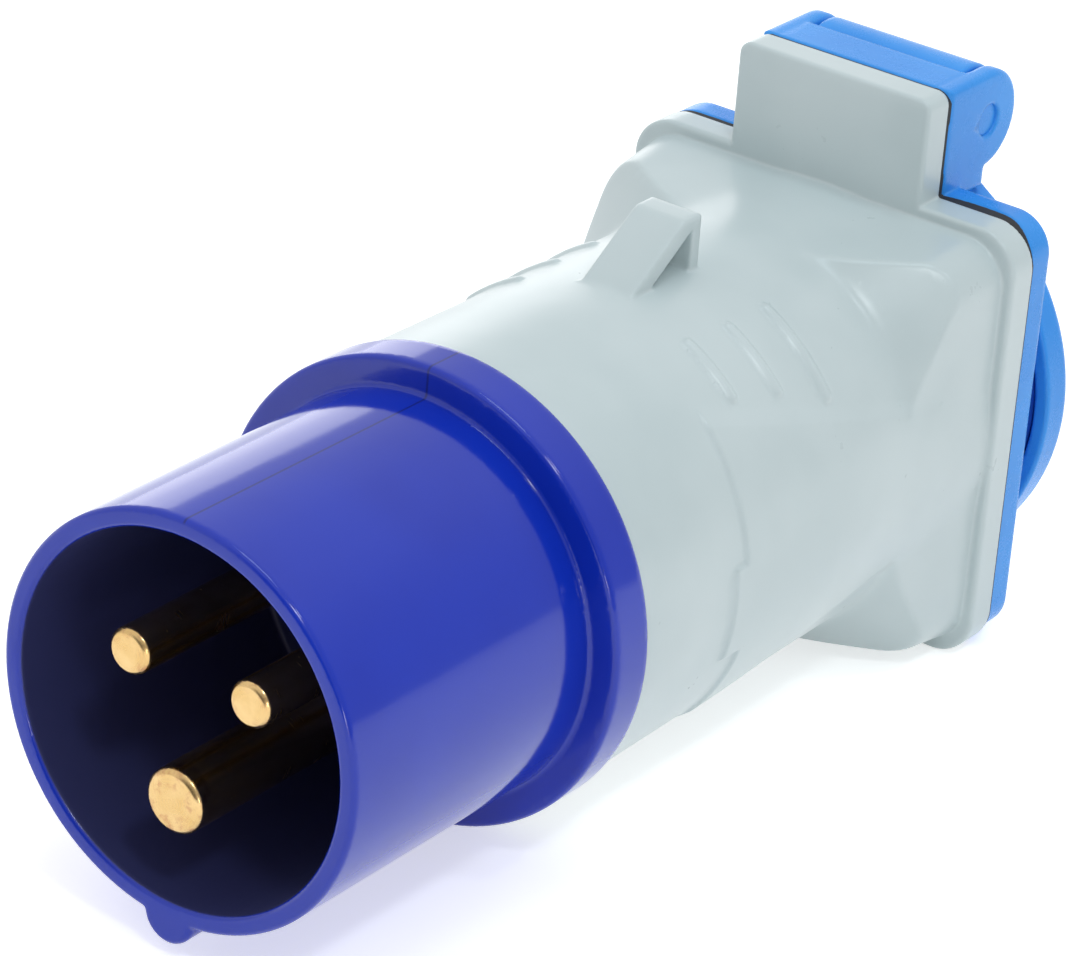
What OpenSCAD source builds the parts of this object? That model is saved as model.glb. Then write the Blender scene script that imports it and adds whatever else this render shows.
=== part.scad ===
// Pin and sleeve adapter: a round three-pin plug, a one-piece housing and an earthed outlet
// under a spring-closed lid. Millimetres, +Z up, the plug faces -Y, the outlet faces +Y.

/* [Plug] */
// Outer diameter of the plug shroud
shroud_d = 44; // [43:0.1:45]
// Wall of the plug shroud
shroud_wall = 2.1; // [1.6:0.1:2.6]
// Length of the shroud in front of the collar
shroud_len = 37; // [34:0.5:42]
// Width of the key rib
key_w = 6; // [5:0.1:7]
// Height of the key rib above the shroud
key_h = 2.6; // [1.8:0.1:3]
// Step of the collar outside the housing
collar_step = 0.7; // [0.3:0.1:2]
// Length of the collar
collar_len = 5.6; // [5.2:0.1:8]
// Round between shroud and collar
collar_fillet = 0.8; // [0.5:0.1:2.7]
// Thickness of the plug floor
floor_t = 5; // [4:0.1:5.2]
// Radius of the circle that the pins stand on
pin_circle_r = 8.7; // [8.2:0.1:9.5]
// Diameter of the line and neutral pins
live_pin_d = 5; // [4.5:0.1:5.5]
// Diameter of the earth pin
earth_pin_d = 7; // [6:0.1:7.5]
// Distance of the line and neutral tips behind the rim
live_pin_setback = 1.5; // [0.5:0.1:6]
// Distance of the earth tip behind the rim
earth_pin_setback = 0.1; // [0.1:0.1:4]

/* [Housing] */
// Wall of the housing at its rear end
housing_wall = 2.2; // [1.8:0.1:3]
// Extra radius at the front of the tapered barrel
housing_taper = 0.7; // [0.2:0.1:1.5]
// Length of the housing
housing_len = 68.7; // [66:0.1:80]
// Step of the flange outside the square block
block_inset = 1.1; // [0.9:0.1:2.2]
// Taper of the square block on each side
block_draft = 1.2; // [0.6:0.1:1.6]
// Corner radius of the square block
block_round = 5; // [4:0.1:6]
// Length of the square block and its corner ramps
block_len = 14.5; // [13:0.1:20]
// Length of the corner ramps
ramp_len = 9; // [8:0.1:13]
// Width of the flange, which the block, plate, lid and recess follow
flange_w = 50.2; // [49:0.1:53]
// Height of the flange beyond its width
flange_tall = 1; // [0.2:0.1:1.6]
// Distance of the flange's middle below the plug axis
flange_drop = 0.45; // [0.1:0.05:0.8]
// Thickness of the flange
flange_t = 4; // [3:0.1:5]
// Corner radius of the flange
flange_round = 5; // [4:0.1:7]
// Chamfer of the flange's front edge
flange_edge = 0.5; // [0.3:0.1:1.2]

/* [Catch hook] */
// Width of the catch hook
hook_w = 6.5; // [5:0.1:9]
// Distance of the hook's foot behind the collar
hook_foot = 24.4; // [20:0.1:28]
// Length of the hook
hook_len = 12; // [10:0.1:14]
// Length of the hook's flat top
hook_flat = 3.1; // [2:0.1:4]
// Height of the hook above the barrel
hook_h = 5.9; // [5:0.1:7]
// Wall of the hook's ramp
hook_wall = 2.1; // [1:0.1:2.4]
// Wall of the hook's rear face
hook_rear = 1.6; // [1.5:0.1:2.5]

/* [Grip] */
// Distance of the first grip ridge behind the collar
ridge_first = 24.1; // [18:0.1:26]
// Distance from ridge to ridge
ridge_pitch = 6.85; // [5:0.05:8]
// Height of the ridges
ridge_h = 0.5; // [0.3:0.05:0.8]
// Height of the side panels
panel_h = 0.35; // [0.2:0.05:0.6]
// Distance of the side panels behind the collar
panel_first = 18.4; // [16:0.1:22]

/* [Outlet] */
// Distance of the outlet recess inside the flange's outline
recess_margin = 5.5; // [5:0.1:5.7]
// Depth of the outlet recess
recess_depth = 17.5; // [16.5:0.1:19]
// Wall of the outlet recess
recess_wall = 2; // [1.6:0.1:2.4]
// Thickness of the recess floor
recess_floor = 3; // [2.5:0.1:4]
// Height of the outlet's collar behind the plate
outlet_rise = 3.4; // [3:0.1:3.6]
// Distance between the contact holes
contact_pitch = 19; // [18:0.1:20]
// Diameter of the contact holes
contact_hole_d = 5.2; // [5:0.1:5.8]
// Width of the earth clips
clip_w = 5; // [4:0.1:7]
// Thickness of the earth strap
clip_t = 0.8; // [0.6:0.1:1]
// Distance of the outlet plate inside the flange's outline
plate_inset = 0.5; // [-1:0.1:0.7]
// Thickness of the outlet plate
plate_t = 3.5; // [3.2:0.1:4.5]
// Corner radius of the outlet plate
plate_round = 5; // [4.5:0.1:6.5]
// Thickness of the gasket
gasket_t = 0.8; // [0.4:0.1:1.2]
// Distance of the gasket inside the flange's outline
gasket_inset = 0.1; // [0.1:0.1:1]
// Distance of the plate screws from the flange's edge
screw_inset = 6; // [5.5:0.1:6.3]

/* [Lid and hinge] */
// Distance of the lid inside the flange's outline
lid_inset = 0; // [-0.2:0.1:0.6]
// Thickness of the lid at its rim
lid_t = 4.6; // [4.2:0.1:6]
// Thickness of the lid's face
lid_face = 2.2; // [1.8:0.1:2.2]
// Round of the lid's rear edge
lid_round = 1.2; // [0.6:0.1:1.6]
// Gap between the plate and the lid's rim
lid_gap = 3; // [2.6:0.1:3.2]
// Width of the hinge bracket and the hinge plate
hinge_w = 24.9; // [22:0.1:28]
// Distance of the hinge axis above the plate's edge
hinge_rise = 6.9; // [6.6:0.1:8]
// Distance of the hinge axis behind the plate
hinge_back = 4.6; // [4.4:0.1:5]
// Radius of the bracket's ears
ear_r = 5.7; // [5.2:0.1:6]
// Thickness of the bracket's ears
ear_t = 2.4; // [2:0.1:3]
// Step of the ears outside the lid's hinge barrel
barrel_step = 0.1; // [0.1:0.1:0.6]
// Diameter of the hinge pin
hinge_pin_d = 3.6; // [3:0.1:3.8]

/* [Hidden] */
$fn = 96;
eps = 0.5;

// Clearances: fixed pieces, hinge pin in the lid, lid to its bracket
fixed_gap = 0.05;
hinge_gap = 0.07;
swing_gap = 0.35;
end_gap = 0.4;
well_gap = 0.2;

// Sizes that follow the flange
flange_h = flange_w + flange_tall;
flange_top = flange_h / 2 - flange_drop;
flange_low = flange_h / 2 + flange_drop;
recess_d = flange_w - 2 * recess_margin;
screw_pitch = flange_w - 2 * screw_inset;
lid_d = flange_w - 2 * lid_inset;
barrel_r = ear_r - barrel_step;

// Radii and stations of the plug and the housing
well_r = recess_d / 2 + recess_wall;
bore_r = well_r + well_gap;
barrel_rear_r = bore_r + housing_wall;
barrel_front_r = barrel_rear_r + housing_taper;
shroud_r = shroud_d / 2;
shroud_in_r = shroud_r - shroud_wall;
collar_r = barrel_front_r + collar_step;
rim_round = 0.6;
spigot_r = bore_r - fixed_gap;
spigot_wall = 2;
spigot_len = 8;
pin_root_step = 0.4;
pin_root_len = 1;
pin_chamfer = 0.5;
y_flange = collar_len + housing_len - flange_t;
y_seat = collar_len + housing_len;
y_ramp = y_flange - block_len;
y_taper = y_ramp - 1;
block_shrink = block_inset + block_round;
block_corner_r = norm([flange_w / 2 - block_shrink, flange_low - block_shrink]) + block_round;
ramp_slope = ramp_len / (block_corner_r - barrel_rear_r);
ramp_lead = 4;

// Stations of the outlet, the hinge and the lid
y_plate = y_seat + gasket_t;
y_back = y_plate + plate_t;
y_mouth = y_back + outlet_rise;
y_floor = y_mouth - recess_depth;
y_under = y_floor - recess_floor;
hinge_y = y_back + hinge_back;
hinge_z = flange_top - plate_inset + hinge_rise;
hinge_top = hinge_z + ear_r;
ear_in = hinge_w / 2 - ear_t;
neck_w = 2 * (ear_in - end_gap);
lid_r = lid_d / 2;
y_lid = y_back + lid_gap;
y_lid_back = y_lid + lid_t;
y_lid_roof = y_lid_back - lid_face;
arm_gap = 0.3;
arm_z = sqrt(pow(lid_r + eps, 2) - pow(ear_in, 2));
arm_y = y_lid_roof - arm_gap;
bar_back = 1.9;
hinge_round = 1.5;
pin_end_inset = 0.4;
lid_wall = 1.8;
lid_in_r = lid_r - lid_wall;
seal_gap = 0.3;
neck_step = 4;
neck_rise = 0.4;
neck_drop = 2.4;
lip_w = 16;
lip_h = 3.2;
lip_t = 1.8;
lip_up = 2;
lip_round = 1.2;
coil_wire = 0.4;
coil_r = hinge_pin_d / 2 + 1.5 * coil_wire;
coil_half = 3.4;
coil_room = coil_r + coil_wire + 0.3;
coil_side = coil_half + coil_wire + 0.8;

// Terminals: pin flanges and barrels, wires, screws
pin_flange_t = 1.5;
pin_flange_step = 1.2;
carrier_t = 8;
term_r = 3.6;
earth_term_r = 4.2;
term_len = 17;
term_end = floor_t + term_len;
term_screw_back = 4;
wire_bore_r = 1.3;
wire_bore_depth = 9;
wire_r = 0.9;
cable_r = 1.5;
term_screw_r = 1.25;
term_screw_head_r = 2;
contact_r = 3.4;
contact_bore_r = 2.45;
contact_len = 20.5;
contact_bore_depth = 14;
contact_slit_len = 10;
contact_slit_w = 0.6;
contact_wire_depth = 5.5;
contact_screw_at = 3;
lead_start = 1.5;
lead_gap = 0.3;
lead_reach = 4;
contact_front = y_under - contact_len;
base_t = 12.5;
clip_wall_gap = 1.4;
clip_z = recess_d / 2 - clip_wall_gap;
clip_back = 5;
clip_fold = 6;
tab_z = -12;
tab_y = contact_front + 1;
screw_r = 1.75;
screw_head_r = 3;
screw_head_t = 1.9;
screw_sink = 1.4;
screw_len = 6.3;
screw_tip = y_flange - screw_len;
centre_screw_len = 9;
cross_len = 3.4;
cross_w = 0.8;
cross_depth = 1.1;
slot_w = 0.6;
slot_depth = 0.7;

// Side panel, hook and ridge details
panel_top = 18.4;
panel_rear = 9.4;
panel_tab_top = 3.4;
panel_tab_bottom = 7;
panel_tab_len = 2;
hook_nose = 0.5;
hook_root = 1.5;
ridge_nose = 1;

// Angle of each pin round the plug axis, seen from +X towards +Z
line_angle = 30;
neutral_angle = 150;
earth_angle = -90;

function barrel_radius(y) = barrel_rear_r + housing_taper * max(0, (y_taper - y) / (y_taper - collar_len));
function block_side(y) = block_inset + well_gap + block_draft * (y_flange - y) / block_len;
function ease(t) = t * t * (3 - 2 * t);
function limit(t) = min(1, max(0, t));
function round_at(a, r) = [r * cos(a), r * sin(a)];

// An outline in X and Z, drawn from one Y to another
module slab(y0, y1) {
    translate([0, y1, 0])
        rotate([90, 0, 0])
            linear_extrude(y1 - y0)
                children();
}

// An outline in Y and Z, drawn from one X to another
module cross(x0, x1) {
    translate([x0, 0, 0])
        rotate([90, 0, 90])
            linear_extrude(x1 - x0)
                children();
}

// A profile of radius and Y, turned round the Y axis
module turned() {
    rotate([-90, 0, 0])
        rotate_extrude()
            children();
}

module rod(r, y0, y1) {
    translate([0, y0, 0])
        rotate([-90, 0, 0])
            cylinder(r = r, h = y1 - y0);
}

module at(x, z) {
    translate([x, 0, z])
        children();
}

module at_pin(angle) {
    at(pin_circle_r * cos(angle), pin_circle_r * sin(angle))
        children();
}

module at_corners() {
    for (sx = [-1, 1], sz = [-1, 1])
        at(sx * screw_pitch / 2, sz * screw_pitch / 2)
            children();
}

module both_sides() {
    children();
    mirror([1, 0, 0])
        children();
}

module rounded(w, h, r) {
    square([w - 2 * r, h], center = true);
    square([w, h - 2 * r], center = true);
    for (sx = [-1, 1], sy = [-1, 1])
        translate([sx * (w / 2 - r), sy * (h / 2 - r)])
            circle(r);
}

// A box profile between two corners
module span(x0, x1, y0, y1) {
    translate([x0, y0])
        square([x1 - x0, y1 - y0]);
}

// A box profile with its two lower corners rounded
module soft_front(x0, x1, y0, y1, r) {
    span(x0 + r, x1 - r, y0, y1);
    span(x0, x1, y0 + r, y1);
    for (x = [x0 + r, x1 - r])
        translate([x, y0 + r])
            circle(r);
}

// The flange's outline, shrunk by an inset
module flange_outline(inset, r) {
    translate([0, -flange_drop])
        rounded(flange_w - 2 * inset, flange_h - 2 * inset, r);
}

// The tall plate under the hinge, shrunk by an inset
module hinge_outline(inset) {
    w = hinge_w - 2 * inset;
    top = hinge_top - inset;
    r = hinge_round;
    span(-w / 2, w / 2, 0, top - r);
    span(-w / 2 + r, w / 2 - r, 0, top);
    for (s = [-1, 1])
        translate([s * (w / 2 - r), top - r])
            circle(r);
}

module plug_shroud() {
    color([0.2, 0.27, 0.72])
        difference() {
            union() {
                turned() {
                    soft_front(shroud_in_r, shroud_r, -shroud_len, floor_t, rim_round);
                    span(0, shroud_r, 0, floor_t);
                    soft_front(shroud_in_r, collar_r, 0, collar_len, rim_round);
                    span(spigot_r - spigot_wall, spigot_r, floor_t - 1, collar_len + spigot_len);
                    difference() {
                        span(shroud_r - eps, shroud_r + collar_fillet, -collar_fillet, eps);
                        translate([shroud_r + collar_fillet, -collar_fillet])
                            circle(collar_fillet);
                    }
                }
                slab(-shroud_len, eps)
                    difference() {
                        union() {
                            translate([0, -shroud_r - key_h + key_w / 2])
                                circle(key_w / 2);
                            span(-key_w / 2, key_w / 2, -shroud_r - key_h + key_w / 2, -shroud_in_r);
                        }
                        circle(shroud_in_r + shroud_wall / 2);
                    }
            }
            at_pin(line_angle)
                rod(live_pin_d / 2 + pin_root_step + fixed_gap, -eps, floor_t + eps);
            at_pin(neutral_angle)
                rod(live_pin_d / 2 + pin_root_step + fixed_gap, -eps, floor_t + eps);
            at_pin(earth_angle)
                rod(earth_pin_d / 2 + pin_root_step + fixed_gap, -eps, floor_t + eps);
        }
}

module pin_carrier() {
    color([0.16, 0.17, 0.2])
        difference() {
            rod(spigot_r - spigot_wall - 0.1, floor_t, floor_t + carrier_t);
            for (a = [line_angle, neutral_angle])
                at_pin(a) {
                    rod(term_r + pin_flange_step + fixed_gap, floor_t - eps, floor_t + pin_flange_t);
                    rod(term_r + fixed_gap, floor_t, floor_t + carrier_t + eps);
                }
            at_pin(earth_angle) {
                rod(earth_term_r + pin_flange_step + fixed_gap, floor_t - eps, floor_t + pin_flange_t);
                rod(earth_term_r + fixed_gap, floor_t, floor_t + carrier_t + eps);
            }
        }
}

// A contact pin with its flared root, its flange and its screw terminal
module pin(d, setback, barrel, angle) {
    tip = setback - shroud_len;
    color([0.86, 0.68, 0.36])
        at_pin(angle)
            difference() {
                turned() {
                    polygon([
                        [0, tip],
                        [d / 2 - pin_chamfer, tip],
                        [d / 2, tip + pin_chamfer],
                        [d / 2, -pin_root_len],
                        [d / 2 + pin_root_step, 0],
                        [d / 2 + pin_root_step, floor_t],
                        [0, floor_t]
                    ]);
                    span(0, barrel + pin_flange_step, floor_t, floor_t + pin_flange_t);
                    span(0, barrel, floor_t, term_end);
                }
                rod(wire_bore_r, term_end - wire_bore_depth, term_end + eps);
                translate([0, term_end - term_screw_back, 0])
                    rotate([0, 90 - angle, 0])
                        cylinder(r = term_screw_r + fixed_gap, h = barrel + eps);
            }
}

module line_pin() {
    pin(live_pin_d, live_pin_setback, term_r, line_angle);
}

module neutral_pin() {
    pin(live_pin_d, live_pin_setback, term_r, neutral_angle);
}

module earth_pin() {
    pin(earth_pin_d, earth_pin_setback, earth_term_r, earth_angle);
}

// A slotted terminal screw along local Z, its tip on the wire
module terminal_screw(barrel) {
    difference() {
        union() {
            translate([0, 0, wire_r])
                cylinder(r = term_screw_r, h = barrel - wire_r + lead_gap);
            translate([0, 0, barrel + well_gap])
                cylinder(r = term_screw_head_r, h = 0.8 * term_screw_head_r);
        }
        translate([0, 0, barrel + well_gap + 0.8 * term_screw_head_r])
            cube([3 * term_screw_head_r, slot_w, 2 * slot_depth], center = true);
    }
}

module pin_screws() {
    color([0.72, 0.73, 0.75])
        for (p = [[line_angle, term_r], [neutral_angle, term_r], [earth_angle, earth_term_r]])
            at_pin(p[0])
                translate([0, term_end - term_screw_back, 0])
                    rotate([0, 90 - p[0], 0])
                        terminal_screw(p[1]);
}

// The barrel flares into the tapered square block through four conical corner ramps
module housing_shell() {
    lead = y_ramp - ramp_lead;
    rear = y_flange + flange_t / 3;
    rod(barrel_rear_r, y_taper, y_seat);
    translate([0, collar_len, 0])
        rotate([-90, 0, 0])
            cylinder(r1 = barrel_front_r, r2 = barrel_rear_r, h = y_taper - collar_len);
    intersection() {
        slab(lead, rear)
            flange_outline(block_inset, block_round);
        cross(-flange_w, flange_w)
            polygon([
                [lead, block_side(lead) - flange_low],
                [rear, block_side(rear) - flange_low],
                [rear, flange_top - block_side(rear)],
                [lead, flange_top - block_side(lead)]
            ]);
        translate([0, 0, -flange_h])
            linear_extrude(2 * flange_h)
                polygon([
                    [block_side(lead) - flange_w / 2, lead],
                    [flange_w / 2 - block_side(lead), lead],
                    [flange_w / 2 - block_side(rear), rear],
                    [block_side(rear) - flange_w / 2, rear]
                ]);
        turned()
            polygon([
                [0, y_ramp - 1.5 * ramp_slope],
                [barrel_rear_r - 1.5, y_ramp - 1.5 * ramp_slope],
                [block_corner_r + 1, y_ramp + ramp_len + ramp_slope],
                [block_corner_r + 1, y_seat],
                [0, y_seat]
            ]);
    }
    slab(y_flange + flange_edge, y_seat) {
        flange_outline(0, flange_round);
        hinge_outline(0);
    }
    hull() {
        slab(y_flange, y_flange + flange_edge)
            flange_outline(flange_edge, flange_round - flange_edge, $fn = 32);
        slab(y_flange + flange_edge, y_flange + 2 * flange_edge)
            flange_outline(0, flange_round, $fn = 32);
    }
    hull() {
        slab(y_flange, y_flange + flange_edge)
            hinge_outline(flange_edge, $fn = 32);
        slab(y_flange + flange_edge, y_flange + 2 * flange_edge)
            hinge_outline(0, $fn = 32);
    }
}

// A triangular loop, open on both sides, that a mating lid's catch drops behind
module catch_hook() {
    foot = collar_len + hook_foot;
    back = foot + hook_len;
    base = barrel_radius(foot + hook_len / 2);
    top = base + hook_h;
    run = hook_len - hook_flat;
    slope = hook_h / run;
    drop = hook_wall * sqrt(1 + slope * slope);
    inner = back - hook_rear;
    cross(-hook_w / 2, hook_w / 2)
        difference() {
            polygon([
                [foot - hook_root / slope, base - hook_root],
                [foot + run, top],
                [back - hook_nose, top],
                [back, top - hook_nose],
                [back, base - hook_root]
            ]);
            polygon([
                [foot + (drop - hook_root) / slope, base - hook_root],
                [inner, base + (inner - foot) * slope - drop],
                [inner, base - hook_root]
            ]);
        }
}

// Three round ridges high on the side
module grip_ridges() {
    first_angles = [45, 41, 34];
    last_angles = [65, 64, 64];
    for (i = [0:2]) {
        y = collar_len + ridge_first + i * ridge_pitch;
        rotate([-90, 0, 0])
            rotate([0, 0, -last_angles[i]])
                rotate_extrude(angle = last_angles[i] - first_angles[i])
                    translate([barrel_radius(y) + ridge_h - ridge_nose, y])
                        circle(ridge_nose, $fn = 48);
    }
}

// A thin raised field on the side, with a tab at its front, that runs into the block's side
module side_panel() {
    front = collar_len + panel_first;
    rear = y_ramp + 2.5;
    back = y_flange + flange_t / 2;
    intersection() {
        turned()
            polygon([
                [0, collar_len],
                [barrel_front_r + panel_h, collar_len],
                [barrel_rear_r + panel_h, y_taper],
                [barrel_rear_r + panel_h, back],
                [0, back]
            ]);
        cross(panel_rear, 2 * barrel_front_r)
            polygon([
                [front, panel_top],
                [rear, panel_rear],
                [back, panel_rear],
                [back, -panel_rear],
                [rear, -panel_rear],
                [front + panel_tab_len / 2, -panel_top],
                [front + panel_tab_len / 2, -panel_tab_bottom],
                [front - panel_tab_len, -panel_tab_bottom],
                [front - panel_tab_len, panel_tab_top],
                [front, panel_tab_top]
            ]);
    }
}

module housing() {
    color([0.77, 0.83, 0.86])
        difference() {
            union() {
                housing_shell();
                catch_hook();
                both_sides()
                    grip_ridges();
                both_sides()
                    side_panel();
            }
            rod(bore_r, collar_len - eps, y_seat + eps);
            at_corners()
                rod(screw_r + fixed_gap, screw_tip - 0.5, y_seat + eps);
        }
}

module flange_gasket() {
    color([0.1, 0.1, 0.11])
        slab(y_seat, y_plate)
            difference() {
                union() {
                    flange_outline(gasket_inset, flange_round - gasket_inset);
                    hinge_outline(gasket_inset);
                }
                circle(well_r + well_gap);
                for (sx = [-1, 1], sz = [-1, 1])
                    translate([sx * screw_pitch / 2, sz * screw_pitch / 2])
                        circle(screw_r + end_gap);
            }
}

// The ear's side view: round about the pin, flat on top, an arm down to the plate
module ear_outline() {
    translate([hinge_y, hinge_z])
        circle(ear_r);
    span(y_plate, hinge_y, hinge_z, hinge_top);
    span(y_plate, arm_y, arm_z, hinge_z);
}

module socket_body() {
    color([0.31, 0.62, 0.95])
        difference() {
            union() {
                slab(y_plate, y_back)
                    flange_outline(plate_inset, plate_round);
                rod(well_r, y_under, y_mouth);
                cross(-ear_in - fixed_gap, ear_in + fixed_gap)
                    difference() {
                        span(y_plate, hinge_y - bar_back, flange_top - plate_inset - eps, hinge_top);
                        translate([hinge_y, hinge_z])
                            circle(barrel_r + swing_gap);
                        span(y_back, hinge_y, 0, hinge_z);
                    }
                cross(ear_in, hinge_w / 2)
                    ear_outline();
                cross(-hinge_w / 2, -ear_in)
                    ear_outline();
            }
            rod(recess_d / 2, y_floor, y_mouth + eps);
            for (s = [-1, 1]) {
                at(s * contact_pitch / 2, 0)
                    rod(contact_hole_d / 2, y_under - eps, y_floor + eps);
                slab(y_under - eps, y_floor + eps)
                    translate([0, s * clip_z])
                        square([clip_w + 2 * end_gap, clip_t + 2 * end_gap], center = true);
            }
            rod(screw_r + well_gap, y_under - eps, y_floor + eps);
            at_corners() {
                rod(screw_r + end_gap, y_plate - eps, y_back + eps);
                rod(screw_head_r + well_gap, y_back - screw_sink, y_back + eps);
            }
            translate([-hinge_w, hinge_y, hinge_z])
                rotate([0, 90, 0])
                    cylinder(r = hinge_pin_d / 2 + fixed_gap / 2, h = 2 * hinge_w);
        }
}

// A cross-recess screw along Y, its head under side at the given station
module cross_screw(tip, seat) {
    top = seat + screw_head_t;
    difference() {
        union() {
            rod(screw_r, tip, top - cross_depth);
            rod(screw_head_r, seat, top);
        }
        slab(top - cross_depth, top + eps) {
            square([cross_len, cross_w], center = true);
            square([cross_w, cross_len], center = true);
        }
    }
}

module plate_screws() {
    color([0.72, 0.73, 0.75])
        at_corners()
            cross_screw(screw_tip, y_back - screw_sink);
}

module centre_screw() {
    color([0.72, 0.73, 0.75])
        cross_screw(y_under - centre_screw_len, y_floor);
}

module contact_base() {
    color([0.88, 0.87, 0.82])
        difference() {
            rod(well_r - end_gap, y_under - base_t, y_under);
            for (s = [-1, 1])
                at(s * contact_pitch / 2, 0)
                    rod(contact_r + fixed_gap, y_under - base_t - eps, y_under + eps);
            slab(y_under - clip_t, y_under + eps)
                square([clip_w + end_gap, 2 * clip_z + clip_t + end_gap], center = true);
            slab(y_under - base_t - eps, y_under + eps)
                translate([0, tab_z])
                    square([clip_w + end_gap, clip_t + end_gap], center = true);
            rod(screw_r + fixed_gap, y_under - centre_screw_len - eps, y_under + eps);
        }
}

// A spring sleeve with a screw terminal at its front end
module contact(side) {
    color([0.86, 0.68, 0.36])
        at(side * contact_pitch / 2, 0)
            difference() {
                rod(contact_r, contact_front, y_under);
                rod(contact_bore_r, y_under - contact_bore_depth, y_under + eps);
                rod(wire_bore_r, contact_front - eps, contact_front + contact_wire_depth);
                slab(y_under - contact_slit_len, y_under + eps)
                    square([contact_slit_w, 3 * contact_r], center = true);
                translate([0, contact_front + contact_screw_at, 0])
                    rotate([0, side * 90, 0])
                        cylinder(r = term_screw_r + fixed_gap, h = contact_r + eps);
            }
}

module line_contact() {
    contact(1);
}

module neutral_contact() {
    contact(-1);
}

module contact_screws() {
    color([0.72, 0.73, 0.75])
        for (s = [-1, 1])
            at(s * contact_pitch / 2, 0)
                translate([0, contact_front + contact_screw_at, 0])
                    rotate([0, s * 90, 0])
                        terminal_screw(contact_r);
}

// A bent strap under the floor with a clip at each end and a wiring tab
module earth_clip() {
    y0 = y_under - clip_t;
    tip = y_mouth - clip_back;
    color([0.78, 0.79, 0.8])
        difference() {
            cross(-clip_w / 2, clip_w / 2) {
                span(y0, y_under, -clip_z - clip_t / 2, clip_z + clip_t / 2);
                for (s = [-1, 1]) {
                    span(y0, tip, s * clip_z - clip_t / 2, s * clip_z + clip_t / 2);
                    translate([tip, s * clip_z])
                        rotate(-s * 155)
                            translate([-fixed_gap, -clip_t / 2])
                                square([clip_fold, clip_t]);
                }
                span(tab_y, y_under, tab_z - clip_t / 2, tab_z + clip_t / 2);
            }
            rod(screw_r + well_gap, y0 - eps, y_under + eps);
        }
}

// A lead of round rings, from a bore at the front to one at the rear
module lead(from, to, end) {
    start = term_end - wire_bore_depth + lead_start;
    y0 = term_end + lead_gap;
    y1 = end[0];
    steps = 6;
    stations = concat(
        [[start, wire_r], [y0, wire_r]],
        [for (i = [0:steps]) [y0 + (y1 - y0) * i / steps, cable_r]],
        [[y1, wire_r], [end[1], wire_r]]
    );
    sides = 8;
    count = len(stations);
    points = [
        for (s = stations)
            let (t = ease(limit((s[0] - y0) / (y1 - y0))))
                for (j = [0:sides - 1])
                    let (p = from + (to - from) * t + round_at(360 * j / sides, s[1]))
                        [p[0], s[0], p[1]]
    ];
    walls = [
        for (i = [0:count - 2], j = [0:sides - 1])
            let (k = (j + 1) % sides)
                [i * sides + j, i * sides + k, i * sides + sides + k, i * sides + sides + j]
    ];
    first = [for (j = [0:sides - 1]) sides - 1 - j];
    last = [for (j = [0:sides - 1]) (count - 1) * sides + j];
    polyhedron(points, concat(walls, [first, last]));
}

module line_lead() {
    color([0.42, 0.26, 0.16])
        lead(
            round_at(line_angle, pin_circle_r),
            [contact_pitch / 2, 0],
            [contact_front - lead_gap, contact_front + lead_reach]
        );
}

module neutral_lead() {
    color([0.15, 0.3, 0.66])
        lead(
            round_at(neutral_angle, pin_circle_r),
            [-contact_pitch / 2, 0],
            [contact_front - lead_gap, contact_front + lead_reach]
        );
}

module earth_lead() {
    color([0.45, 0.6, 0.2])
        lead(
            round_at(earth_angle, pin_circle_r),
            [0, tab_z - clip_t / 2 - wire_r],
            [tab_y - lead_gap, tab_y + lead_reach]
        );
}

module hinge_pin() {
    color([0.7, 0.71, 0.73])
        translate([pin_end_inset - hinge_w / 2, hinge_y, hinge_z])
            rotate([0, 90, 0])
                cylinder(r = hinge_pin_d / 2, h = hinge_w - 2 * pin_end_inset);
}

// A closing coil round the pin, one leg on the bracket and one in the lid
module lid_spring() {
    turns = 4.25;
    per_turn = 8;
    rings = turns * per_turn;
    reach = sqrt(pow(barrel_r + swing_gap, 2) - coil_r * coil_r) - 2 * fixed_gap;
    path = concat(
        [[-coil_half, -reach, coil_r, 90]],
        [
            for (i = [0:rings])
                let (a = 90 - 360 * i / per_turn)
                    [-coil_half + 2 * coil_half * i / rings, coil_r * cos(a), coil_r * sin(a), a]
        ],
        [[coil_half, coil_r, 2 * fixed_gap - coil_room, 90 - 360 * turns]]
    );
    sides = 8;
    count = len(path);
    points = [
        for (p = path, j = [0:sides - 1])
            let (q = round_at(360 * j / sides, coil_wire))
                [p[0] + q[0], hinge_y + p[1] + q[1] * cos(p[3]), hinge_z + p[2] + q[1] * sin(p[3])]
    ];
    walls = [
        for (i = [0:count - 2], j = [0:sides - 1])
            let (k = (j + 1) % sides)
                [i * sides + k, i * sides + j, i * sides + sides + j, i * sides + sides + k]
    ];
    first = [for (j = [0:sides - 1]) j];
    last = [for (j = [0:sides - 1]) count * sides - 1 - j];
    color([0.6, 0.61, 0.63])
        polyhedron(points, concat(walls, [first, last]));
}

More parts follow.
